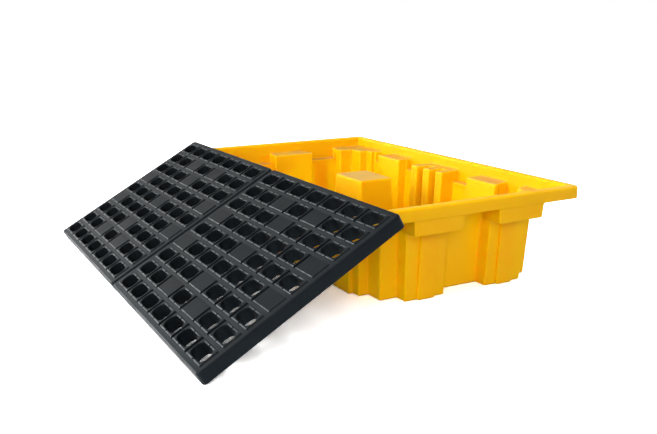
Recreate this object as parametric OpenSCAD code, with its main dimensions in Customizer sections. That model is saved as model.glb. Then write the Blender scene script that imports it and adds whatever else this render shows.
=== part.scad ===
// Two-drum spill containment pallet: a moulded sump and two lift-out grate panels.
// The panels lean side by side against the left long rim, with their lower edges on the floor.
// X runs across the pallet, Y along it, and the origin is the middle of the sump's base.

/* [Pallet] */
// Length of the sump over its rim
pallet_l = 1300; // [1240:5:1400]
// Width of the sump over its rim
pallet_w = 780; // [740:5:840]
// Height of the rim above the floor
pallet_h = 297; // [270:1:330]

/* [Sump shell] */
// Thickness of the moulded wall
wall = 6; // [5:0.5:7]
// Width of the rim, from its outer face to the opening for the panels
rim_w = 28; // [25:1:32]
// Depth of the rim's outer skirt
rim_h = 39; // [34:1:46]
// Radius of the rim's outer corners
rim_r = 22; // [14:1:26]
// Distance of the lower walls of the long sides from the rim's outer face, at the floor
side_inset = 64; // [60:1:70]
// Distance of the lower walls of the short sides from the rim's outer face, at the floor
end_inset = 70; // [66:1:76]
// Distance that the lower walls spread outwards on their way up
draft = 14; // [8:1:18]

/* [Bosses] */
// Drop of the bosses' lower edge below the rim's top
boss_drop = 84; // [76:1:92]
// Distance of a boss's top from the rim's outer face
boss_set = 2; // [1:0.5:4]
// Distance that each boss narrows towards its lower edge
boss_taper = 4; // [2:1:8]
// Half the gap between the two bosses of a short side
end_boss_in = 66; // [60:1:72]
// Width of each boss on a short side
end_boss_w = 174; // [168:1:180]
// Distance that a boss of a long side reaches past its leg
side_boss_lap = 8; // [6:1:12]

/* [Lower walls] */
// Half the width of the recess in the middle of a short side
recess_half = 78; // [72:1:84]
// Depth of that recess
recess_d = 43; // [34:1:52]
// Width of the rib on each leg
leg_rib_w = 60; // [40:1:80]
// Distance that the rib stands out
leg_rib_d = 9; // [5:1:12]
// Width of the first step in each corner
step_a_w = 106; // [100:1:112]
// Depth of the first step in each corner
step_a_d = 42; // [34:1:50]
// Width of the second step in each corner
step_b_w = 48; // [40:1:58]
// Depth of the second step in each corner
step_b_d = 106; // [96:1:114]
// Width of the third step in each corner
step_c_w = 15; // [10:1:22]
// Depth of the third step in each corner
step_c_d = 139; // [130:1:146]
// Distance of the recesses in a long side from the middle of the pallet
side_recess_in = 212; // [204:1:220]
// Length of those recesses
side_recess_l = 135; // [126:1:144]
// Depth of those recesses
side_recess_d = 35; // [25:1:40]
// Width of each pleat in the middle of a long wall, inside the basin
pleat_w = 37; // [32:1:42]
// Distance between the pleats
pleat_pitch = 74; // [70:1:78]
// Distance that the pleats stand into the basin
pleat_d = 55; // [45:1:60]

/* [Pillar] */
// Width of the pillar's top, across the pallet
pillar_w = 130; // [100:1:150]
// Length of the pillar's top, along the pallet
pillar_l = 170; // [150:1:190]
// Distance that each side of the pillar spreads towards the floor
pillar_spread = 14; // [8:1:18]
// Width of the strip that ties the pillar's open foot
tie_w = 40; // [30:1:60]

/* [Grate panels] */
// Thickness of a panel, which is also its depth below the rim's top when fitted
deck_t = 38; // [34:1:42]
// Room between the panels and the opening on each side
fit_gap = 3; // [2:0.5:5]
// Room between the two fitted panels
seam_gap = 6; // [4:1:10]
// Distance of the outer holes' middles from the panel's short edges
edge_u = 65.5; // [62:0.5:70]
// Distance of the outer holes' middles from the panel's long edges
edge_v = 45; // [42:0.5:48]
// Length of a hole
hole_u = 77; // [70:1:80]
// Width of a hole
hole_v = 41; // [38:1:44]
// Corner radius of a hole
hole_r = 17; // [12:1:18]
// Width of the nick that parts the pad round a hole
nick_w = 5; // [4:0.5:8]
// Thickness of the top skin
skin_t = 8; // [7:0.5:10]
// Thickness of the outer skirt
skirt_t = 6; // [5:0.5:8]
// Thickness of the sleeve round each hole
sleeve_t = 4; // [3:0.5:5]
// Thickness of the webs under the skin
web_t = 4; // [3:0.5:6]
// Corner radius of a panel
panel_r = 14; // [8:1:18]
// Width of the grooves between neighbouring pads
groove_w = 10; // [7:0.5:12]
// Depth of the grooves below the pads
groove_d = 5; // [4:0.5:6]
// Distance that the grooves run past the pads at both ends
groove_over = 1; // [0.5:0.5:2]
// Width of the strips between the rows of pads
strip_w = 12; // [10:0.5:14]
// Depth of the strips and of the border below the pads
strip_d = 2.5; // [1.5:0.5:3.5]

/* [Leaning panels] */
// Length of panel that reaches past the edge of the rim
lean_over = 8; // [5:1:20]
// Room between the panels and the rim
lean_clear = 0.4; // [0.3:0.1:1]
// Room between the two leaning panels
lean_gap = 8; // [6:1:20]
// Shift of the pair of panels along the pallet
lean_shift = -88; // [-120:1:0]

/* [Hidden] */
$fn = 48;
CELLS_U = 7;
CELLS_V = 9;
SIDES = [-1, 1];
CUT = 1;

open_w = pallet_w - 2 * rim_w;
open_l = pallet_l - 2 * rim_w;
hollow_w = open_w + 2 * wall;
hollow_l = open_l + 2 * wall;
seat_z = pallet_h - deck_t;
ledge_z = seat_z - wall;
skirt_z = pallet_h - rim_h;
boss_z = pallet_h - boss_drop;
body_w = pallet_w - 2 * side_inset;
body_l = pallet_l - 2 * end_inset;
leg_out = body_w / 2 - step_a_w;
leg_mid = (recess_half + leg_out) / 2;
corner_steps = [[step_a_w, step_a_d], [step_b_w, step_b_d], [step_c_w, step_c_d]];
pleat_end = pleat_pitch + pleat_w / 2 - wall;
side_recess_out = side_recess_in + side_recess_l;
side_end = body_l / 2 - step_c_d;
side_legs = [[pleat_end, side_recess_in], [side_recess_out, side_end]];
side_bosses = [
    [pleat_end - side_boss_lap, side_recess_in + side_boss_lap],
    [side_recess_out - side_boss_lap, side_end]
];

panel_u = open_w - 2 * fit_gap;
panel_v = (open_l - 2 * fit_gap - seam_gap) / 2;
pitch_u = (panel_u - 2 * edge_u) / (CELLS_U - 1);
pitch_v = (panel_v - 2 * edge_v) / (CELLS_V - 1);
pad_u = pitch_u - groove_w;
pad_v = pitch_v - strip_w;
lean_run = panel_v - lean_over;
lean_angle = asin((pallet_h + lean_clear) / lean_run);

// Rectangle with rounded corners, centred on the origin
module round_rect(w, l, r) {
    for (s = [0, 1]) {
        square([w - 2 * r * s, l - 2 * r * (1 - s)], center = true);
    }
    for (x = SIDES, y = SIDES) {
        translate([x * (w / 2 - r), y * (l / 2 - r)]) circle(r);
    }
}

// Block between two levels whose sides slope: each rectangle is [x0, x1, y0, y1]
module sloped_block(z0, low, z1, high) {
    ring = [[0, 2], [1, 2], [1, 3], [0, 3]];
    polyhedron(
        points = [
            for (c = ring) [low[c[0]], low[c[1]], z0],
            for (c = ring) [high[c[0]], high[c[1]], z1]
        ],
        faces = [[0, 1, 2, 3], [7, 6, 5, 4], [4, 5, 1, 0], [5, 6, 2, 1], [6, 7, 3, 2], [7, 4, 0, 3]]
    );
}

// Plan of the lower walls at the floor, drawn in by t
module body_plan(t) {
    difference() {
        square([body_w - 2 * t, body_l - 2 * t], center = true);
        for (s = SIDES) {
            translate([0, s * body_l / 2])
                square([2 * (recess_half + t), 2 * (recess_d + t)], center = true);
        }
        for (x = SIDES, y = SIDES, step = corner_steps) {
            translate([x * body_w / 2, y * body_l / 2])
                square([2 * (step[0] + t), 2 * (step[1] + t)], center = true);
        }
        for (x = SIDES, y = SIDES) {
            translate([x * body_w / 2, y * (side_recess_in + side_recess_l / 2)])
                square([2 * (side_recess_d + t), side_recess_l + 2 * t], center = true);
        }
        for (x = SIDES, i = [-1:1]) {
            translate([x * body_w / 2, i * pleat_pitch])
                square([2 * (pleat_d + t), pleat_w - 2 * wall + 2 * t], center = true);
        }
    }
}

// Lower walls as a solid with draft, drawn in by t, from level z0 up
module body_solid(t, z0, height) {
    low = [body_w - 2 * t, body_l - 2 * t];
    high = [low[0] + 2 * draft, low[1] + 2 * draft];
    translate([0, 0, z0])
        linear_extrude(height, scale = [high[0] / low[0], high[1] / low[1]], slices = 1) body_plan(t);
}

// Copies of a short side's half on all four halves
module on_ends() {
    for (x = [0, 1], y = [0, 1]) {
        mirror([x, 0, 0]) mirror([0, y, 0]) children();
    }
}

// Outside of one boss of a short side
module end_boss() {
    x0 = end_boss_in;
    x1 = end_boss_in + end_boss_w;
    back = body_l / 2 - wall;
    front = pallet_l / 2 - boss_set;
    sloped_block(
        boss_z, [x0 + boss_taper, x1 - boss_taper, back, front - boss_taper / 2],
        skirt_z, [x0, x1, back, front]
    );
}

// Room inside one boss of a short side, open to the basin
module end_pocket() {
    x0 = end_boss_in + boss_taper + wall;
    x1 = end_boss_in + end_boss_w - boss_taper - wall;
    z0 = boss_z + wall;
    front = open_l / 2;
    mid = body_l / 2 + draft;
    back = body_l / 2 - 2 * wall;
    translate([x0, mid, z0]) cube([x1 - x0, front - mid, pallet_h - z0]);
    translate([recess_half + wall, back, z0])
        cube([leg_out - recess_half - 2 * wall, front - back, pallet_h - z0]);
}

// Rib on one leg of a short side
module leg_rib() {
    x0 = leg_mid - leg_rib_w / 2;
    x1 = leg_mid + leg_rib_w / 2;
    foot = body_l / 2;
    lean = draft * boss_z / seat_z;
    sloped_block(
        0, [x0, x1, foot - wall / 2, foot + leg_rib_d],
        boss_z + CUT, [x0, x1, foot - wall / 2, foot + leg_rib_d + lean]
    );
}

// Outside of one boss of a long side, between y0 and y1
module side_boss(y0, y1) {
    back = body_w / 2;
    front = pallet_w / 2 - boss_set;
    sloped_block(
        boss_z, [back, front - boss_taper / 2, y0 + boss_taper / 2, y1 - boss_taper / 2],
        skirt_z, [back, front, y0, y1]
    );
}

// Room inside one boss of a long side, open to the basin through the leg below it
module side_pocket(boss, leg) {
    z0 = boss_z + wall;
    back = body_w / 2 - 2 * wall;
    mid = body_w / 2 + draft;
    front = open_w / 2;
    y0 = boss[0] + boss_taper / 2 + wall;
    y1 = boss[1] - boss_taper / 2 - wall;
    leg_y0 = max(y0, leg[0] + wall);
    leg_y1 = min(y1, leg[1] - wall);
    translate([mid, y0, z0]) cube([front - mid, y1 - y0, pallet_h - z0]);
    translate([back, leg_y0, z0]) cube([front - back, leg_y1 - leg_y0, pallet_h - z0]);
}

// Rim as a hollow channel, open underneath, with the ledge that carries the panels
module rim() {
    difference() {
        union() {
            translate([0, 0, skirt_z]) linear_extrude(rim_h) round_rect(pallet_w, pallet_l, rim_r);
            translate([0, 0, ledge_z])
                linear_extrude(pallet_h - ledge_z) square([hollow_w, hollow_l], center = true);
        }
        translate([0, 0, skirt_z - CUT])
            linear_extrude(rim_h - wall + CUT)
                difference() {
                    round_rect(pallet_w - 2 * wall, pallet_l - 2 * wall, rim_r - wall);
                    square([hollow_w, hollow_l], center = true);
                }
    }
}

// Slots that carry the rim's hollow down through the bosses of one quarter
module boss_slots() {
    slot = rim_w - 2 * wall - boss_set - boss_taper / 2;
    low = boss_z - CUT;
    rise = skirt_z - low + CUT;
    end_in = end_boss_in + boss_taper + wall;
    side_in = boss_taper / 2 + wall;
    translate([end_in, hollow_l / 2, low]) cube([end_boss_w - 2 * (boss_taper + wall), slot, rise]);
    for (b = side_bosses) {
        translate([hollow_w / 2, b[0] + side_in, low]) cube([slot, b[1] - b[0] - 2 * side_in, rise]);
    }
}

// Tapered pillar drawn in by t, up to level z1
module pillar_solid(t, z1) {
    low = [pillar_w + 2 * pillar_spread - 2 * t, pillar_l + 2 * pillar_spread - 2 * t];
    high = [pillar_w - 2 * t, pillar_l - 2 * t];
    linear_extrude(z1, scale = [high[0] / low[0], high[1] / low[1]], slices = 1)
        square(low, center = true);
}

// The basin with its rim, bosses and pillar
module sump() {
    color("gold") {
        difference() {
            union() {
                rim();
                body_solid(0, 0, seat_z);
                on_ends() {
                    end_boss();
                    leg_rib();
                    for (b = side_bosses) {
                        side_boss(b[0], b[1]);
                    }
                }
            }
            body_solid(wall, wall, seat_z - wall + CUT);
            translate([-open_w / 2, -open_l / 2, seat_z]) cube([open_w, open_l, deck_t + CUT]);
            on_ends() {
                end_pocket();
                boss_slots();
                for (i = [0:len(side_bosses) - 1]) {
                    side_pocket(side_bosses[i], side_legs[i]);
                }
            }
            translate([0, 0, -CUT]) pillar_solid(wall, seat_z - wall + CUT);
        }
        difference() {
            pillar_solid(0, seat_z);
            translate([0, 0, -CUT]) pillar_solid(wall, seat_z - wall + CUT);
        }
        translate([-tie_w / 2, -pillar_l / 2 - pillar_spread, 0])
            cube([tie_w, pillar_l + 2 * pillar_spread, wall]);
    }
}

// Tells whether a cell is a flat blank, from its distance to the middle of the panel
function is_blank(i, j) =
    let (du = abs(2 * i - CELLS_U + 1) / 2, dv = abs(2 * j - CELLS_V + 1) / 2)
    (dv == 3 && du == 1) || (dv == 1 && du == 3) || (du == 0 && (dv == 0 || dv == 2));

// Copies at the middle of every cell that has a hole, with u along Y and v along X
module at_holes() {
    for (i = [0:CELLS_U - 1], j = [0:CELLS_V - 1]) {
        if (!is_blank(i, j)) {
            translate([edge_v + j * pitch_v, edge_u + i * pitch_u - panel_u / 2]) children();
        }
    }
}

// Plan of the raised pads, each parted by a nick where the cell has a hole
module pad_plan() {
    difference() {
        for (i = [0:CELLS_U - 1], j = [0:CELLS_V - 1]) {
            translate([edge_v + j * pitch_v, edge_u + i * pitch_u - panel_u / 2])
                square([pad_v, pad_u], center = true);
        }
        at_holes() square([pad_v + CUT, nick_w], center = true);
    }
}

// Outline of a panel, drawn in by t, with its lower edge at x = 0
module panel_outline(t) {
    translate([panel_v / 2, 0]) round_rect(panel_v - 2 * t, panel_u - 2 * t, panel_r - t);
}

// Spaces under the skin, between the skirt, the sleeves and the webs
module underside_plan() {
    difference() {
        panel_outline(skirt_t);
        at_holes() round_rect(hole_v + 2 * sleeve_t, hole_u + 2 * sleeve_t, hole_r + sleeve_t);
        for (i = [1:CELLS_U - 1]) {
            translate([0, edge_u + (i - 0.5) * pitch_u - panel_u / 2 - web_t / 2]) square([panel_v, web_t]);
        }
        for (j = [1:CELLS_V - 1]) {
            translate([edge_v + (j - 0.5) * pitch_v - web_t / 2, -panel_u / 2]) square([web_t, panel_u]);
        }
    }
}

// Plan of the grooves between neighbouring pads
module groove_plan() {
    for (i = [1:CELLS_U - 1], j = [0:CELLS_V - 1]) {
        translate([edge_v + j * pitch_v, edge_u + (i - 0.5) * pitch_u - panel_u / 2])
            square([pad_v + 2 * groove_over, groove_w], center = true);
    }
}

// One grate panel lying flat, with its underside at z = 0
module panel_flat() {
    difference() {
        linear_extrude(deck_t)
            difference() {
                panel_outline(0);
                at_holes() round_rect(hole_v, hole_u, hole_r);
            }
        translate([0, 0, -CUT]) linear_extrude(deck_t - skin_t + CUT) underside_plan();
        translate([0, 0, deck_t - strip_d])
            linear_extrude(strip_d + CUT)
                difference() {
                    panel_outline(-CUT);
                    pad_plan();
                }
        translate([0, 0, deck_t - groove_d]) linear_extrude(groove_d + CUT) groove_plan();
    }
}

// One grate panel leaning on the rim: side is 1 for the far panel and -1 for the near one
module leaning_panel(side) {
    translate([-pallet_w / 2 - lean_run * cos(lean_angle), lean_shift + side * (panel_u + lean_gap) / 2, 0])
        rotate([0, -lean_angle, 0]) panel_flat();
}

// The panel towards the far end
module grate_far() {
    color("#2b2e31") leaning_panel(1);
}

// The panel towards the near end
module grate_near() {
    color("#303336") leaning_panel(-1);
}

sump();
grate_far();
grate_near();
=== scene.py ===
"""Looks of a spill containment pallet: a yellow sump with two black grate panels leaning on its rim."""

import logging
import math
from collections.abc import Callable, Iterable
from dataclasses import dataclass, field
from enum import Enum

import bmesh
import bpy
from mathutils import Matrix, Vector
from mathutils.bvhtree import BVHTree
from mathutils.kdtree import KDTree


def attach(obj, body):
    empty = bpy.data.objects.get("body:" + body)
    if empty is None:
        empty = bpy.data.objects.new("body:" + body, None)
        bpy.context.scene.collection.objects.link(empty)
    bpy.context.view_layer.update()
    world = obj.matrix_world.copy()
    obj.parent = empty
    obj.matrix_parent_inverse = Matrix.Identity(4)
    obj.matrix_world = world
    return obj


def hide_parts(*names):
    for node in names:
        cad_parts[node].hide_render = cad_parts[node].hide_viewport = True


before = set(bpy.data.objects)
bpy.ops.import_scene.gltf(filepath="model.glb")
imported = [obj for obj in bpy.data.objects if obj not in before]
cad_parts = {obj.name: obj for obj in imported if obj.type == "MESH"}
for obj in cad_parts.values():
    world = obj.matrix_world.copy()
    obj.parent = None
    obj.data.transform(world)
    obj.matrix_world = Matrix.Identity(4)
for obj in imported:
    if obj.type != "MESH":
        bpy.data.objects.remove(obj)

MM = 0.001
MERGE_DISTANCE = 1e-5
CUT_DISTANCE = 1e-6
LEAST_AREA = 1e-12
FLAT_ANGLE = math.radians(0.5)
ROUND_SLOT = 1
EDGE_MASK = "edge"
# Settled dust, which on the sump's up-facing tops is also painted shade.
DUST_AND_SHADE_MASK = "dust_and_shade"
WHITE = (1.0, 1.0, 1.0, 1.0)
LOG = logging.getLogger("pallet")

Triple = tuple[float, float, float]


class Side(Enum):
    """Which of the two leaning panels is meant, as its sign along the pallet."""

    FAR = 1
    NEAR = -1


class Graph:
    """A node tree with short ways to add, set and join shader nodes."""

    MIX_SHARE, MIX_FIRST, MIX_SECOND, MIX_RESULT = 0, 6, 7, 2

    def __init__(self, tree: bpy.types.NodeTree) -> None:
        """Keeps the tree that the nodes go into."""
        self.tree = tree

    @classmethod
    def of(cls, owner: bpy.types.ID) -> "Graph":
        """Empties a material's or a world's node tree.

        Args:
            owner: The material or world.

        Returns:
            The graph of its empty tree.
        """
        owner.use_nodes = True
        owner.node_tree.nodes.clear()
        return cls(owner.node_tree)

    def add(self, kind: str, inputs: dict | None = None, **settings: object) -> bpy.types.Node:
        """Adds a node, sets its properties and fills its sockets.

        Args:
            kind: Shader node type, without the ShaderNode prefix.
            inputs: Socket name or number to a value, or to an output socket to link.
            settings: Properties of the node.

        Returns:
            The new node.
        """
        node = self.tree.nodes.new("ShaderNode" + kind)
        for name, value in settings.items():
            setattr(node, name, value)
        for name, value in (inputs or {}).items():
            if isinstance(value, bpy.types.NodeSocket):
                self.tree.links.new(value, node.inputs[name])
            else:
                node.inputs[name].default_value = value
        return node

    def math(self, operation: str, a: object, b: object) -> bpy.types.NodeSocket:
        """Returns the output of a Math node on two values or sockets."""
        return self.add("Math", {0: a, 1: b}, operation=operation).outputs[0]

    def span(
        self, value: object, given: tuple[float, float], wanted: tuple[object, object] = (0.0, 1.0)
    ) -> bpy.types.NodeSocket:
        """Maps a value smoothly from one span to another.

        Args:
            value: The value or socket.
            given: The ends of its own span.
            wanted: The ends of the new span, as values or sockets.

        Returns:
            The mapped value.
        """
        ends = {"From Min": given[0], "From Max": given[1], "To Min": wanted[0], "To Max": wanted[1]}
        node = self.add("MapRange", {"Value": value, **ends}, interpolation_type="SMOOTHSTEP")
        return node.outputs["Result"]

    def mix(self, share: object, first: object, second: object) -> bpy.types.NodeSocket:
        """Returns a colour mixed from two colours or colour sockets."""
        inputs = {self.MIX_SHARE: share, self.MIX_FIRST: first, self.MIX_SECOND: second}
        return self.add("Mix", inputs, data_type="RGBA").outputs[self.MIX_RESULT]

    def noise(self, where: object, scale: object, detail: float) -> bpy.types.NodeSocket:
        """Returns the value of a Noise texture."""
        return self.add("TexNoise", {"Vector": where, "Scale": scale, "Detail": detail}).outputs["Fac"]

    def attribute(self, name: str) -> bpy.types.NodeSocket:
        """Returns the value of a mesh attribute."""
        return self.add("Attribute", attribute_name=name).outputs["Fac"]


@dataclass
class Effects:
    """Shader node groups that the finishes share, each built once."""

    pebble_share: float = 0.5
    wave_detail: float = 3.0
    # The rubbed edges that this noise breaks up are also painted highlights.
    rubbed_and_lit_detail: float = 4.0
    rubbed_and_lit_span: tuple[float, float] = (0.35, 0.7)
    rubbed_and_lit_range: tuple[float, float] = (0.35, 1.0)
    scratch_turn: Triple = (0.3, 0.5, 0.7)
    scratch_stretch: Triple = (1.0, 14.0, 1.0)
    scratch_detail: float = 3.0
    scratch_span: tuple[float, float] = (0.66, 0.74)
    patch_detail: float = 5.0
    patch_span: tuple[float, float] = (0.4, 0.65)
    grain: bpy.types.NodeTree = field(init=False)
    wear_and_highlight: bpy.types.NodeTree = field(init=False)
    marks: bpy.types.NodeTree = field(init=False)
    dust_and_shade: bpy.types.NodeTree = field(init=False)

    def __post_init__(self) -> None:
        """Builds the groups."""
        self.grain = self._grain()
        self.wear_and_highlight = self._wear_and_highlight()
        self.marks = self._marks()
        self.dust_and_shade = self._dust_and_shade()

    @staticmethod
    def _new(
        name: str, inputs: Iterable[str], outputs: Iterable[str]
    ) -> tuple[Graph, bpy.types.NodeOutputs, bpy.types.NodeInputs]:
        """Starts a group whose sockets are values, apart from the one named Vector.

        Args:
            name: Name of the group.
            inputs: Names of its inputs.
            outputs: Names of its outputs.

        Returns:
            The graph, the sockets that bring its inputs and the sockets that take its outputs.
        """
        tree = bpy.data.node_groups.new(name, "ShaderNodeTree")
        for way, labels in (("INPUT", inputs), ("OUTPUT", outputs)):
            for label in labels:
                kind = "NodeSocketVector" if label == "Vector" else "NodeSocketFloat"
                tree.interface.new_socket(name=label, in_out=way, socket_type=kind)
        given, out = tree.nodes.new("NodeGroupInput"), tree.nodes.new("NodeGroupOutput")
        return Graph(tree), given.outputs, out.inputs

    def _grain(self) -> bpy.types.NodeTree:
        """Builds the skin of moulded plastic: a fine pebble over slow waves.

        Returns:
            The group, which puts out a height and a mottle.
        """
        names = ("Vector", "Pebble Scale", "Wave Scale", "Wave Share")
        graph, given, out = self._new("moulded_grain", names, ("Height", "Mottle"))
        cells = {"Vector": given["Vector"], "Scale": given["Pebble Scale"]}
        pebble = graph.add("TexVoronoi", cells, feature="SMOOTH_F1").outputs["Distance"]
        wave = graph.noise(given["Vector"], given["Wave Scale"], self.wave_detail)
        pebbles = graph.math("MULTIPLY", pebble, self.pebble_share)
        height = graph.math("ADD", pebbles, graph.math("MULTIPLY", wave, given["Wave Share"]))
        graph.tree.links.new(height, out["Height"])
        graph.tree.links.new(wave, out["Mottle"])
        return graph.tree

    def _wear_and_highlight(self) -> bpy.types.NodeTree:
        """Builds the rubbed edges, which also carry painted highlights: the mask of the rounded edges,
        broken up.

        Returns:
            The group, which puts out a mask.
        """
        names = ("Vector", "Edge", "Scale", "Amount")
        graph, given, out = self._new("edge_wear_and_highlight", names, ("Mask",))
        patch = graph.noise(given["Vector"], given["Scale"], self.rubbed_and_lit_detail)
        rubbed_and_lit = graph.span(patch, self.rubbed_and_lit_span, self.rubbed_and_lit_range)
        broken = graph.math("MULTIPLY", rubbed_and_lit, given["Edge"])
        graph.tree.links.new(graph.math("MULTIPLY", broken, given["Amount"]), out["Mask"])
        return graph.tree

    def _marks(self) -> bpy.types.NodeTree:
        """Builds the handling marks: thin scratches and dull patches.

        Returns:
            The group, which puts out a mask of each.
        """
        names = ("Vector", "Scratch Scale", "Patch Scale")
        graph, given, out = self._new("handling_marks", names, ("Scratch", "Patch"))
        turned = {"Vector": given["Vector"], "Rotation": self.scratch_turn, "Scale": self.scratch_stretch}
        stretched = graph.add("Mapping", turned).outputs["Vector"]
        lines = graph.noise(stretched, given["Scratch Scale"], self.scratch_detail)
        patches = graph.noise(given["Vector"], given["Patch Scale"], self.patch_detail)
        graph.tree.links.new(graph.span(lines, self.scratch_span), out["Scratch"])
        graph.tree.links.new(graph.span(patches, self.patch_span), out["Patch"])
        return graph.tree

    def _dust_and_shade(self) -> bpy.types.NodeTree:
        """Builds the dust that settles where a mask says, more in the dull patches; on the sump's tops it
        is also painted shade.

        Returns:
            The group, which puts out a mask.
        """
        names = ("Place", "Patch", "Least", "Most")
        graph, given, out = self._new("settled_dust_and_shade", names, ("Mask",))
        share = graph.span(given["Patch"], (0.0, 1.0), (given["Least"], given["Most"]))
        graph.tree.links.new(graph.math("MULTIPLY", given["Place"], share), out["Mask"])
        return graph.tree


@dataclass(frozen=True)
class MouldedPlastic:
    """What the two plastics share: a mottled colour, paler edges that are partly rubbed wear and partly
    painted highlight, dust that on the sump is also painted shade, and a grained skin.
    """

    name: str
    base: Triple
    mottled: Triple
    worn_and_highlight: Triple
    dust_and_shade: Triple
    roughness: float
    gloss: float
    pebble_scale: float
    wave_scale: float
    wave_share: float
    mottle_span: tuple[float, float]
    wear_and_highlight_scale: float
    wear_and_highlight_amount: float
    scratch_scale: float
    patch_scale: float
    dust_and_shade_least: float
    dust_and_shade_most: float
    patch_dulls: float
    scratch_dulls: float
    bump_strength: float
    bump_depth: float

    def coats(
        self, rubbed_and_lit: bpy.types.NodeSocket, dusty_and_shaded: bpy.types.NodeSocket
    ) -> list[tuple[bpy.types.NodeSocket, Triple]]:
        """Returns the masks and colours that lie over the bare plastic, the lowest first."""
        return [(rubbed_and_lit, self.worn_and_highlight), (dusty_and_shaded, self.dust_and_shade)]

    def extras(self) -> dict[str, object]:
        """Returns the shader's inputs that this plastic alone sets."""
        return {}

    def material(self, effects: Effects) -> bpy.types.Material:
        """Builds the material.

        Args:
            effects: The shared node groups.

        Returns:
            The material.
        """
        made = bpy.data.materials.new(self.name)
        graph = Graph.of(made)
        where = {"Vector": graph.add("TexCoord").outputs["Object"]}
        scales = {"Pebble Scale": self.pebble_scale, "Wave Scale": self.wave_scale}
        waves = {**where, **scales, "Wave Share": self.wave_share}
        grain = graph.add("Group", waves, node_tree=effects.grain).outputs
        edges = {**where, "Edge": graph.attribute(EDGE_MASK), "Scale": self.wear_and_highlight_scale}
        edges["Amount"] = self.wear_and_highlight_amount
        wear_and_highlight = graph.add("Group", edges, node_tree=effects.wear_and_highlight).outputs
        scales = {"Scratch Scale": self.scratch_scale, "Patch Scale": self.patch_scale}
        marks = graph.add("Group", {**where, **scales}, node_tree=effects.marks).outputs
        ledges = {"Place": graph.attribute(DUST_AND_SHADE_MASK), "Patch": marks["Patch"]}
        shares = {"Least": self.dust_and_shade_least, "Most": self.dust_and_shade_most}
        dust_and_shade = graph.add("Group", {**ledges, **shares}, node_tree=effects.dust_and_shade).outputs
        mottle = graph.span(grain["Mottle"], self.mottle_span)
        colour = graph.mix(mottle, (*self.base, 1.0), (*self.mottled, 1.0))
        # The coats are the paler edges, partly rubbed wear and partly painted highlight, and the dust,
        # which on the sump is also painted shade.
        for mask, coat in self.coats(wear_and_highlight["Mask"], dust_and_shade["Mask"]):
            colour = graph.mix(mask, colour, (*coat, 1.0))
        dull = graph.math("MULTIPLY", marks["Patch"], self.patch_dulls)
        scratched = graph.math("MULTIPLY", marks["Scratch"], self.scratch_dulls)
        rough = graph.math("ADD", graph.math("ADD", dull, self.roughness), scratched)
        skin = {"Strength": self.bump_strength, "Distance": self.bump_depth, "Height": grain["Height"]}
        looks = {
            "Base Color": colour,
            "Roughness": rough,
            "Normal": graph.add("Bump", skin).outputs["Normal"],
            "Specular IOR Level": self.gloss,
        }
        shader = graph.add("BsdfPrincipled", {**looks, **self.extras()})
        graph.add("OutputMaterial", {"Surface": shader.outputs["BSDF"]})
        return made


@dataclass(frozen=True)
class SumpPlastic(MouldedPlastic):
    """Satin yellow polyethylene that lets some light through its thin walls."""

    name: str = "sump_yellow_polyethylene"
    base: Triple = (0.865, 0.442, 0.001)
    mottled: Triple = (0.845, 0.424, 0.001)
    # Paler edges: rubbed wear, and painted highlight along the rims and rounded edges.
    worn_and_highlight: Triple = (0.88, 0.50, 0.09)
    # Greyer, darker tops: settled dust, and painted shade that dims the ledges and the pillar's top.
    dust_and_shade: Triple = (0.57, 0.31, 0.085)
    roughness: float = 0.45
    gloss: float = 0.08
    pebble_scale: float = 420.0
    wave_scale: float = 7.0
    wave_share: float = 6.0
    mottle_span: tuple[float, float] = (0.35, 0.65)
    wear_and_highlight_scale: float = 26.0
    wear_and_highlight_amount: float = 0.45
    scratch_scale: float = 24.0
    patch_scale: float = 4.0
    dust_and_shade_least: float = 0.45
    dust_and_shade_most: float = 0.8
    patch_dulls: float = 0.10
    scratch_dulls: float = 0.10
    bump_strength: float = 0.12
    bump_depth: float = 0.6 * MM
    through: float = 0.95
    reach: Triple = (0.7, 1.4, 0.1)
    reach_scale: float = 20 * MM

    def extras(self) -> dict[str, object]:
        """Returns how far light goes through the walls."""
        depth = {"Subsurface Radius": self.reach, "Subsurface Scale": self.reach_scale}
        return {"Subsurface Weight": self.through, **depth}


@dataclass(frozen=True)
class GratePlastic(MouldedPlastic):
    """Black polyethylene with a fine moulded texture and greyer ridges, partly rubbed wear and partly
    painted highlight.
    """

    name: str = "grate_black_polyethylene"
    base: Triple = (0.0038, 0.0046, 0.0054)
    mottled: Triple = (0.0055, 0.0066, 0.0075)
    # Grey edges: rubbed wear, and painted highlight on the edges that face down the slope.
    worn_and_highlight: Triple = (0.14, 0.155, 0.162)
    dust_and_shade: Triple = (0.015, 0.017, 0.018)
    roughness: float = 0.40
    gloss: float = 0.066
    pebble_scale: float = 700.0
    wave_scale: float = 14.0
    wave_share: float = 0.8
    mottle_span: tuple[float, float] = (0.3, 0.7)
    wear_and_highlight_scale: float = 70.0
    wear_and_highlight_amount: float = 0.9
    scratch_scale: float = 40.0
    patch_scale: float = 7.0
    dust_and_shade_least: float = 0.75
    dust_and_shade_most: float = 1.0
    patch_dulls: float = 0.12
    scratch_dulls: float = -0.08
    bump_strength: float = 0.25
    bump_depth: float = 0.4 * MM
    sheen: Triple = (0.5, 0.8, 1.0)

    def coats(
        self, rubbed_and_lit: bpy.types.NodeSocket, dusty_and_shaded: bpy.types.NodeSocket
    ) -> list[tuple[bpy.types.NodeSocket, Triple]]:
        """Returns the masks and colours that lie over the bare plastic, the lowest first."""
        return [(dusty_and_shaded, self.dust_and_shade), (rubbed_and_lit, self.worn_and_highlight)]

    def extras(self) -> dict[str, object]:
        """Returns the tint of the highlights."""
        return {"Specular Tint": (*self.sheen, 1.0)}


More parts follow.
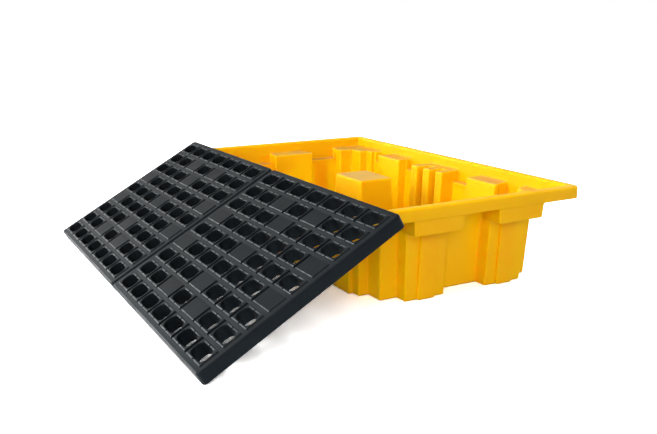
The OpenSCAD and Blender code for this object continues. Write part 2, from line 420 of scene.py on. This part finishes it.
@dataclass
class EdgeRounding:
    """Rounds the edges of a solid, each as far as its neighbours leave room.

    Attributes:
        width: The largest rounding.
        segments: Faces across a rounding.
        profile: Shape of a rounding, 0.5 for an arc.
        sharp: Least angle between the faces of an edge that is rounded.
        straight: Least turn from one edge of a curved run to the next.
        along: Largest such turn.
        share: Share of the room beside an edge that its rounding may take.
        stray: Distance off the solid at which a rounding has gone wrong.
        rounds: Tries, after each of which the roundings that went wrong are eased.
        easing: What such a rounding keeps of its width in each try.
        large_face: Corners of a face above which its width isn't measured.
        taper: Least share of its wide end that counts as a narrowing face's width.
    """

    width: float
    segments: int = 3
    profile: float = 0.5
    sharp: float = math.radians(20.0)
    straight: float = math.radians(1.0)
    along: float = math.radians(30.0)
    share: float = 0.42
    stray: float = 3.5 * MM
    rounds: int = 6
    easing: float = 0.4
    large_face: int = 150
    taper: float = 0.3

    def _across(self, loop: bmesh.types.BMLoop) -> float:
        """Measures how wide a face is beside one of its edges, square to the edge.

        Args:
            loop: The edge's place in the face.

        Returns:
            The least width, or infinity for a face with very many corners.
        """
        face = loop.face
        if len(face.verts) > self.large_face:
            return math.inf
        start, run = loop.vert.co, loop.link_loop_next.vert.co - loop.vert.co
        ahead = run.normalized()
        inward = face.normal.cross(ahead)
        least = math.inf
        for other in face.loops:
            if other is loop:
                continue
            ends = [vert.co - start for vert in (other.vert, other.link_loop_next.vert)]
            flat = [(end.dot(ahead), end.dot(inward)) for end in ends]
            (first, first_width), (last, last_width) = sorted(flat)
            low, high = max(first, 0.0), min(last, run.length)
            length, gain = last - first, last_width - first_width
            if high - low > MERGE_DISTANCE and length > CUT_DISTANCE:
                widths = [first_width + gain * (at - first) / length for at in (low, high)]
                if max(widths) > MERGE_DISTANCE:
                    least = min(least, max(min(widths), self.taper * max(widths)))
        return least

    def room(self, edge: bmesh.types.BMEdge, wanted: float) -> float:
        """Finds how far an edge can be rounded.

        Args:
            edge: The edge.
            wanted: The rounding that it would like.

        Returns:
            The wanted rounding, or a share of what lies beside the edge.
        """
        least = wanted
        for loop in edge.link_loops:
            run = (loop.link_loop_next.vert.co - loop.vert.co).normalized()
            for near in (loop.link_loop_prev, loop.link_loop_next):
                turn = (near.link_loop_next.vert.co - near.vert.co).normalized()
                if run.angle(turn, 0.0) > self.along:
                    least = min(least, self.share * near.edge.calc_length())
            least = min(least, self.share * self._across(loop))
        return least

    def _chains(self, solid: bmesh.types.BMesh, wishes: list[float]) -> list[list[int]]:
        """Finds the runs of wished edges that follow on from one another round a curve.

        Args:
            solid: The merged solid.
            wishes: The rounding that each edge would like.

        Returns:
            The runs, as edge numbers.
        """
        lead = list(range(len(wishes)))

        def head(number: int) -> int:
            """Finds the edge that stands for the run an edge is in.

            Args:
                number: Number of the edge.

            Returns:
                Number of the edge that stands for its run.
            """
            while lead[number] != number:
                number = lead[number]
            return number

        for vert in solid.verts:
            wished = [edge for edge in vert.link_edges if wishes[edge.index]]
            ends = [(edge.index, edge.other_vert(vert).co - vert.co) for edge in wished]
            for count, (first, there) in enumerate(ends):
                for second, back in ends[:count]:
                    if self.straight < math.pi - there.angle(back, 0.0) < self.along:
                        lead[head(first)] = head(second)
        chains: dict[int, list[int]] = {}
        for number, wish in enumerate(wishes):
            if wish:
                chains.setdefault(head(number), []).append(number)
        return [chain for chain in chains.values() if len(chain) > 1]

    @staticmethod
    def _even(weights: list[float], chains: list[list[int]]) -> None:
        """Gives the edges of each run the least of their weights.

        Args:
            weights: The weight of each edge, changed in place.
            chains: The runs, as edge numbers.
        """
        for chain in chains:
            least = min(weights[number] for number in chain)
            for number in chain:
                weights[number] = least

    def _bevelled(self, solid: bmesh.types.BMesh, weights: list[float]) -> bpy.types.Mesh:
        """Rounds the edges by weight.

        Args:
            solid: The merged solid.
            weights: The share of the full width that each edge gets.

        Returns:
            The mesh, with its rounds in material slot 1.
        """
        layers = solid.edges.layers.float
        layer = layers.get("bevel_weight_edge") or layers.new("bevel_weight_edge")
        for edge, weight in zip(solid.edges, weights):
            edge[layer] = weight
        mesh = bpy.data.meshes.new("rounding")
        solid.to_mesh(mesh)
        holder = add_object("rounding", mesh)
        bevel = holder.modifiers.new("rounding", "BEVEL")
        bevel.limit_method = "WEIGHT"
        bevel.width = self.width
        bevel.segments = self.segments
        bevel.profile = self.profile
        bevel.use_clamp_overlap = False
        bevel.material = ROUND_SLOT
        graph = bpy.context.evaluated_depsgraph_get()
        made = bpy.data.meshes.new_from_object(holder.evaluated_get(graph), depsgraph=graph)
        bpy.data.objects.remove(holder)
        bpy.data.meshes.remove(mesh)
        return made

    def apply(
        self, solid: bmesh.types.BMesh, wanted: Callable[[bmesh.types.BMEdge], float]
    ) -> bpy.types.Mesh:
        """Rounds the sharp edges, and eases those whose rounding leaves the solid's own surface.

        Args:
            solid: The merged solid.
            wanted: The rounding that an edge would like, in metres.

        Returns:
            A mesh with its rounds in material slot 1, and a mask of them as a point attribute.
        """
        solid.verts.ensure_lookup_table()
        solid.edges.ensure_lookup_table()
        solid.normal_update()
        edges = solid.edges
        wishes = [wanted(edge) if edge.calc_face_angle(0.0) > self.sharp else 0.0 for edge in edges]
        rooms = [self.room(edge, wish) if wish else 0.0 for edge, wish in zip(edges, wishes)]
        weights = [room / self.width for room in rooms]
        chains = self._chains(solid, wishes)
        self._even(weights, chains)
        skin = BVHTree.FromBMesh(solid)
        corners = KDTree(len(solid.verts))
        for vert in solid.verts:
            corners.insert(vert.co, vert.index)
        corners.balance()
        for _ in range(self.rounds):
            mesh = self._bevelled(solid, weights)
            points = [vert.co for vert in mesh.vertices]
            stray = [co for co in points if (skin.find_nearest(co)[3] or 0.0) > self.stray]
            if not stray:
                break
            LOG.info("eased %d points that strayed", len(stray))
            eased = {corners.find(co)[1] for co in stray}
            for number in sorted(eased):
                for edge in solid.verts[number].link_edges:
                    weights[edge.index] *= self.easing
            self._even(weights, chains)
        inside = [1.0] * len(mesh.vertices)
        for face in mesh.polygons:
            if face.material_index != ROUND_SLOT:
                for number in face.vertices:
                    inside[number] = 0.0
        mark(mesh, EDGE_MASK, inside)
        return mesh


def mark(mesh: bpy.types.Mesh, name: str, values: list[float]) -> None:
    """Stores one value per point of a mesh as an attribute."""
    mesh.attributes.new(name, "FLOAT", "POINT").data.foreach_set("value", values)


def add_object(name: str, data: bpy.types.ID) -> bpy.types.Object:
    """Puts a mesh, camera or lamp into the scene.

    Args:
        name: Name of the object.
        data: What it holds.

    Returns:
        The object.
    """
    made = bpy.data.objects.new(name, data)
    bpy.context.scene.collection.objects.link(made)
    return made


def soften(mesh: bpy.types.Mesh, flat_agrees: float = 0.5, round_agrees: float = 0.3) -> None:
    """Shades the rounds smoothly into the flat faces beside them, and puts all faces in slot 0.

    Args:
        mesh: The mesh, with its rounds in material slot 1.
        flat_agrees: How near a flat face's normal has to be to a round's own, as a cosine.
        round_agrees: The same for the mean normal of the rounds at a point.
    """
    flats: dict[int, list[Vector]] = {}
    rounds: dict[int, Vector] = {}
    for face in mesh.polygons:
        for number in face.vertices:
            if face.material_index == ROUND_SLOT:
                pull = face.normal * max(face.area, LEAST_AREA)
                rounds[number] = rounds.get(number, Vector()) + pull
            else:
                flats.setdefault(number, []).append(face.normal.copy())
    normals = [Vector((0.0, 0.0, 1.0))] * len(mesh.loops)
    for face in mesh.polygons:
        own = face.normal.copy()
        for corner in face.loop_indices:
            number = mesh.loops[corner].vertex_index
            if face.material_index != ROUND_SLOT:
                normals[corner] = own
            elif number in flats:
                best = max(flats[number], key=own.dot)
                normals[corner] = best if best.dot(own) > flat_agrees else own
            else:
                smooth = rounds[number].normalized()
                normals[corner] = smooth if smooth.dot(own) > round_agrees else own
    mesh.polygons.foreach_set("use_smooth", [True] * len(mesh.polygons))
    mesh.polygons.foreach_set("material_index", [0] * len(mesh.polygons))
    mesh.normals_split_custom_set(normals)


def solid_of(node: str, pose: Matrix, cuts: Iterable[tuple[Vector, Vector]]) -> bmesh.types.BMesh:
    """Copies a CAD node's mesh, merges its loose triangles and joins the flat ones.

    Args:
        node: Name of the CAD node.
        pose: Turn and shift that the copy is freed from.
        cuts: Points and normals of planes along which the flat faces stay parted.

    Returns:
        The merged copy.
    """
    solid = bmesh.new()
    solid.from_mesh(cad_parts[node].data)
    bmesh.ops.remove_doubles(solid, verts=solid.verts, dist=MERGE_DISTANCE)
    bmesh.ops.transform(solid, matrix=pose.inverted(), verts=solid.verts)
    for spot, normal in cuts:
        geometry = solid.verts[:] + solid.edges[:] + solid.faces[:]
        plane = {"plane_co": spot, "plane_no": normal}
        cut = bmesh.ops.bisect_plane(solid, geom=geometry, dist=CUT_DISTANCE, **plane)
        for item in cut["geom_cut"]:
            if isinstance(item, bmesh.types.BMEdge):
                item.seam = True
    bmesh.ops.remove_doubles(solid, verts=solid.verts, dist=MERGE_DISTANCE)
    flat = {"angle_limit": FLAT_ANGLE, "delimit": {"SEAM"}}
    bmesh.ops.dissolve_limit(solid, verts=solid.verts, edges=solid.edges, **flat)
    between = [vert for vert in solid.verts if len(vert.link_edges) == 2]
    bmesh.ops.dissolve_verts(solid, verts=between)
    return solid


def place(
    name: str,
    mesh: bpy.types.Mesh,
    body: str,
    nodes: Iterable[str],
    material: bpy.types.Material,
) -> bpy.types.Object:
    """Puts a finished mesh into the scene as a piece of the object.

    Args:
        name: Name of the piece.
        mesh: Its mesh, in the shared frame.
        body: CAD body that it rides on.
        nodes: CAD nodes that it stands for.
        material: Its material.

    Returns:
        The piece.
    """
    mesh.name = name
    mesh.materials.clear()
    mesh.materials.append(material)
    piece = add_object(name, mesh)
    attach(piece, body)
    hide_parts(*nodes)
    return piece


@dataclass
class Sump:
    """The moulded basin with its rim, bosses, stepped walls and pillar."""

    node: str = "sump"
    body: str = "sump"
    slot: str = "sump_plastic"
    rim_top: float = 297 * MM
    rim_near: float = 1 * MM
    rim_round: float = 7 * MM
    edge_round: float = 6 * MM
    ledge_low: float = 150 * MM
    ledge_drop: float = 5 * MM
    ledge_flat: float = 0.95
    rounding: EdgeRounding = field(default_factory=lambda: EdgeRounding(width=7 * MM))

    def _wanted(self, edge: bmesh.types.BMEdge) -> float:
        """Returns the rounding that an edge of the sump would like."""
        top = min(vert.co.z for vert in edge.verts) > self.rim_top - self.rim_near
        return self.rim_round if top else self.edge_round

    def _age(self, mesh: bpy.types.Mesh) -> None:
        """Marks the ledges and the pillar's top, inside the rim, for settled dust and for painted shade
        that dims these up-facing tops.

        Args:
            mesh: The rounded shell.
        """
        dust_and_shade = [0.0] * len(mesh.vertices)
        for face in mesh.polygons:
            inside = self.ledge_low < face.center.z < self.rim_top - self.ledge_drop
            if inside and face.normal.z > self.ledge_flat:
                for number in face.vertices:
                    dust_and_shade[number] = 1.0
        mark(mesh, DUST_AND_SHADE_MASK, dust_and_shade)

    def build(self) -> bpy.types.Mesh:
        """Rounds the shell's edges as a moulding's are.

        Returns:
            The shell's mesh in the shared frame.
        """
        middle = Vector()
        cuts = [(middle, Vector((1.0, 0.0, 0.0))), (middle, Vector((0.0, 1.0, 0.0)))]
        solid = solid_of(self.node, Matrix(), cuts)
        mesh = self.rounding.apply(solid, self._wanted)
        solid.free()
        self._age(mesh)
        soften(mesh)
        return mesh

    def dress(self, material: bpy.types.Material) -> bpy.types.Object:
        """Builds the shell, finishes it and returns the piece."""
        return place("sump_shell", self.build(), self.body, [self.node], material)


@dataclass
class GratePanel:
    """One grate panel: a deck of raised pads with holes, in a sunk border.

    The flat panel has v up its slope along X, u along the pallet along Y and its top towards Z.
    """

    side: Side
    node: str
    body: str
    slot: str = "grate_plastic"
    length: float = 718 * MM
    run: float = 616 * MM
    thick: float = 38 * MM
    strip_depth: float = 2.5 * MM
    groove_depth: float = 5 * MM
    rim_side: float = -390 * MM
    rest_run: float = 608 * MM
    rest_height: float = 297.4 * MM
    shift: float = -88 * MM
    gap: float = 8 * MM
    cells: tuple[int, int] = (7, 9)
    edge_u: float = 65.5 * MM
    edge_v: float = 45 * MM
    corner: float = 14 * MM
    near: float = 0.3 * MM
    level: float = 0.99
    border_round: float = 5 * MM
    foot_round: float = 2 * MM
    hole_round: float = 2.4 * MM
    pad_round: float = 2.2 * MM
    groove_round: float = 1.6 * MM
    nick_round: float = 0.8 * MM
    # Painted highlight: edges that face up the slope keep this share of their paler edge, and pad edges
    # past this line below a row's middle get all of it.
    shaded_share: float = 0.2
    highlight_line: float = 23.5 * MM
    hole_edge: float = 22.9 * MM
    border: float = 16 * MM
    rounding: EdgeRounding = field(
        default_factory=lambda: EdgeRounding(width=5 * MM, share=0.85, stray=4 * MM)
    )

    def pose(self) -> Matrix:
        """Works out the turn and shift from the flat panel to the leaning one.

        Returns:
            The turn and shift.
        """
        lean = math.asin(self.rest_height / self.rest_run)
        foot = self.rim_side - self.rest_run * math.cos(lean)
        across = self.shift + self.side.value * (self.length + self.gap) / 2
        return Matrix.Translation((foot, across, 0.0)) @ Matrix.Rotation(-lean, 4, "Y")

    def cuts(self) -> list[tuple[Vector, Vector]]:
        """Lists the planes between the cells, through their middles and where the painted highlight along
        the pads' lower edges begins.

        Returns:
            A point and a normal of each plane, on the flat panel.
        """
        count_u, count_v = self.cells
        half_u = (self.length - 2 * self.edge_u) / (count_u - 1) / 2
        half_v = (self.run - 2 * self.edge_v) / (count_v - 1) / 2
        rows = [self.edge_v + j * half_v for j in range(2 * count_v - 1)]
        rows += [self.edge_v + 2 * j * half_v - self.highlight_line for j in range(count_v)]
        columns = [self.edge_u + i * half_u - self.length / 2 for i in range(2 * count_u - 1)]
        return [(Vector((v, 0.0, 0.0)), Vector((1.0, 0.0, 0.0))) for v in rows] + [
            (Vector((0.0, u, 0.0)), Vector((0.0, 1.0, 0.0))) for u in columns
        ]

    def _inside(self, spot: Vector) -> float:
        """Measures how far a point of the flat panel lies inside its outline.

        Args:
            spot: The point.

        Returns:
            The distance, below 0 outside.
        """
        v = abs(spot.x - self.run / 2) - self.run / 2 + self.corner
        u = abs(spot.y) - self.length / 2 + self.corner
        return self.corner - math.hypot(max(v, 0.0), max(u, 0.0)) - min(max(v, u), 0.0)

    def _wanted(self, edge: bmesh.types.BMEdge) -> float:
        """Chooses the rounding that an edge of the flat panel would like.

        Args:
            edge: The edge.

        Returns:
            The rounding, 0 for an edge that stays sharp.
        """
        if not edge.is_convex:
            return 0.0
        start, end = (vert.co for vert in edge.verts)
        lowest = min(start.z, end.z)
        on_top = lowest > self.thick - self.strip_depth - self.near
        if self._inside((start + end) / 2) < self.near:
            return self.border_round if on_top else self.foot_round
        if not on_top:
            return 0.0
        depth = self.thick - min(vert.co.z for face in edge.link_faces for vert in face.verts)
        if depth > self.groove_depth + self.near:
            return self.hole_round
        if lowest < self.thick - self.near:
            return 0.0
        if abs(end.x - start.x) < self.near:
            return self.pad_round
        return self.groove_round if depth > self.strip_depth + self.near else self.nick_round

    def _age(self, mesh: bpy.types.Mesh) -> None:
        """Marks the sunk strips as dusty, and paints highlights on the pads' and holes' edges that face
        down the slope, towards the light.

        The edges that face up the slope, away from the light, keep only a little of their paler edge, as
        painted shade.

        Args:
            mesh: The rounded flat panel.
        """
        toward_light = [0.0] * len(mesh.vertices)
        dust_and_shade = [0.0] * len(mesh.vertices)
        sunk = self.thick - self.strip_depth
        for face in mesh.polygons:
            strip = face.normal.z > self.level and abs(face.center.z - sunk) < self.near
            for number in face.vertices:
                toward_light[number] -= face.normal.x * face.area
                if strip and self._inside(mesh.vertices[number].co) > self.border:
                    dust_and_shade[number] = 1.0
        edge = mesh.attributes[EDGE_MASK].data
        pitch = (self.run - 2 * self.edge_v) / (self.cells[1] - 1)
        # Painted highlight and shade: a full paler edge on the lower edges that face down the slope, and
        # a dimmed one on those that face up it.
        for vert, value in zip(mesh.vertices, toward_light):
            cell = (vert.co.x - self.edge_v) / pitch
            across = (cell - round(cell)) * pitch
            if value < -LEAST_AREA:
                edge[vert.index].value *= self.shaded_share
            elif value > 0.0 and vert.co.z > self.thick - self.near:
                pad_foot = across < -self.highlight_line - self.near
                if pad_foot or abs(across - self.hole_edge) < 2 * self.near:
                    edge[vert.index].value = 1.0
        mark(mesh, DUST_AND_SHADE_MASK, dust_and_shade)

    def build(self) -> bpy.types.Mesh:
        """Rounds the flat panel's edges, ages it and leans it.

        Returns:
            The panel's mesh in the shared frame.
        """
        solid = solid_of(self.node, self.pose(), self.cuts())
        mesh = self.rounding.apply(solid, self._wanted)
        solid.free()
        self._age(mesh)
        mesh.transform(self.pose())
        soften(mesh)
        return mesh

    def dress(self, material: bpy.types.Material) -> bpy.types.Object:
        """Builds the panel, finishes it and returns the piece."""
        name = self.node + "_panel"
        return place(name, self.build(), self.body, [self.node], material)


def aim(item: bpy.types.Object, spot: Triple, forward: Vector) -> None:
    """Sets where a camera or a lamp stands and the way that it looks."""
    item.location = spot
    item.rotation_euler = forward.to_track_quat("-Z", "Y").to_euler()


@dataclass(frozen=True)
class SoftLamp:
    """A square soft lamp: where it stands, the point that it faces, its side and its watts."""

    name: str
    spot: Triple
    target: Triple
    size: float
    power: float

    def build(self) -> bpy.types.Object:
        """Adds the lamp.

        Returns:
            The lamp.
        """
        data = bpy.data.lights.new(self.name, "AREA")
        data.shape = "SQUARE"
        data.size = self.size
        data.energy = self.power
        lamp = add_object(self.name, data)
        aim(lamp, self.spot, Vector(self.target) - Vector(self.spot))
        return lamp


@dataclass
class Studio:
    """Floor, soft light, white surroundings and the camera at the photograph's angle."""

    eye: Triple = (-1.4633, -2.3254, 0.7758)
    yaw: float = math.radians(29.57)
    pitch: float = math.radians(13.73)
    focal_px: float = 777.94
    image_px: int = 657
    sensor: float = 36.0
    view_limit: float = 100.0
    floor_size: float = 30.0
    floor_drop: float = 0.2 * MM
    horizon: float = 0.75
    zenith: float = 0.38
    floor_seen: float = 2.1
    floor_lit: float = 0.3
    lamps: tuple[SoftLamp, ...] = (
        SoftLamp("far_left_glint", (-2.6, 3.6, 0.9), (-0.5, -0.1, 0.2), 1.4, 130.0),
        SoftLamp("right_back", (4.2, 0.9, 1.3), (0.3, 0.1, 0.2), 1.6, 95.0),
        SoftLamp("left_low", (-4.0, -0.6, 1.5), (0.3, 0.1, 0.2), 1.4, 165.0),
        SoftLamp("front_key", (-2.0, -3.4, 1.6), (0.1, 0.1, 0.15), 1.8, 96.0),
    )

    def camera(self) -> bpy.types.Object:
        """Adds the camera.

        Returns:
            The camera.
        """
        data = bpy.data.cameras.new("camera")
        data.sensor_fit = "HORIZONTAL"
        data.sensor_width = self.sensor
        data.lens = self.focal_px * self.sensor / self.image_px
        data.clip_end = self.view_limit
        camera = add_object("camera", data)
        level = math.cos(self.pitch)
        forward = (math.sin(self.yaw) * level, math.cos(self.yaw) * level, -math.sin(self.pitch))
        aim(camera, self.eye, Vector(forward))
        bpy.context.scene.camera = camera
        return camera

    @staticmethod
    def _seen(graph: Graph) -> bpy.types.NodeSocket:
        """Tells the rays that show the background: from the camera, mirrored or let through.

        Args:
            graph: The graph that asks.

        Returns:
            1 for such a ray, and 0 for one that lights the object.
        """
        rays = graph.add("LightPath").outputs
        shown = graph.math("MAXIMUM", rays["Is Glossy Ray"], rays["Is Transmission Ray"])
        return graph.math("MAXIMUM", rays["Is Camera Ray"], shown)

    def floor(self) -> bpy.types.Object:
        """Adds the pale floor, which keeps the object's shadow.

        Returns:
            The floor.
        """
        shape = bmesh.new()
        bmesh.ops.create_grid(shape, x_segments=1, y_segments=1, size=self.floor_size)
        bmesh.ops.translate(shape, verts=shape.verts, vec=(0.0, 0.0, -self.floor_drop))
        mesh = bpy.data.meshes.new("floor")
        shape.to_mesh(mesh)
        shape.free()
        floor = add_object("floor", mesh)
        made = bpy.data.materials.new("floor_white")
        graph = Graph.of(made)
        dull, seen = ((value, value, value, 1.0) for value in (self.floor_lit, self.floor_seen))
        matt = graph.add("BsdfDiffuse", {"Color": graph.mix(self._seen(graph), dull, seen)})
        graph.add("OutputMaterial", {"Surface": matt.outputs["BSDF"]})
        mesh.materials.append(made)
        return floor

    def surroundings(self) -> None:
        """Lights the object softly, more from the sides, with white behind it for the camera."""
        world = bpy.data.worlds.new("white_room")
        graph = Graph.of(world)
        way = graph.add("TexCoord").outputs["Generated"]
        height = graph.add("SeparateXYZ", {"Vector": way}).outputs["Z"]
        strength = graph.span(height, (0.0, 1.0), (self.horizon, self.zenith))
        room = graph.add("Background", {"Color": WHITE, "Strength": strength})
        white = graph.add("Background", {"Color": WHITE, "Strength": 1.0})
        backgrounds = {1: room.outputs["Background"], 2: white.outputs["Background"]}
        mixed = graph.add("MixShader", {0: self._seen(graph), **backgrounds})
        graph.add("OutputWorld", {"Surface": mixed.outputs["Shader"]})
        bpy.context.scene.world = world

    def build(self) -> None:
        """Sets up the whole studio."""
        bpy.context.scene.view_settings.view_transform = "Standard"
        self.camera()
        self.floor()
        self.surroundings()
        for lamp in self.lamps:
            lamp.build()


def main() -> None:
    """Builds the pallet's pieces and the studio, and logs each piece's face count."""
    logging.basicConfig(level=logging.INFO, format="%(name)s: %(message)s")
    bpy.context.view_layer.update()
    effects = Effects()
    yellow = SumpPlastic().material(effects)
    black = GratePlastic().material(effects)
    pieces = [
        Sump().dress(yellow),
        GratePanel(Side.FAR, "grate_far", "far_panel").dress(black),
        GratePanel(Side.NEAR, "grate_near", "near_panel").dress(black),
    ]
    for piece in pieces:
        LOG.info("%s: %d faces", piece.name, len(piece.data.polygons))
    Studio().build()


if __name__ == "__main__":
    main()
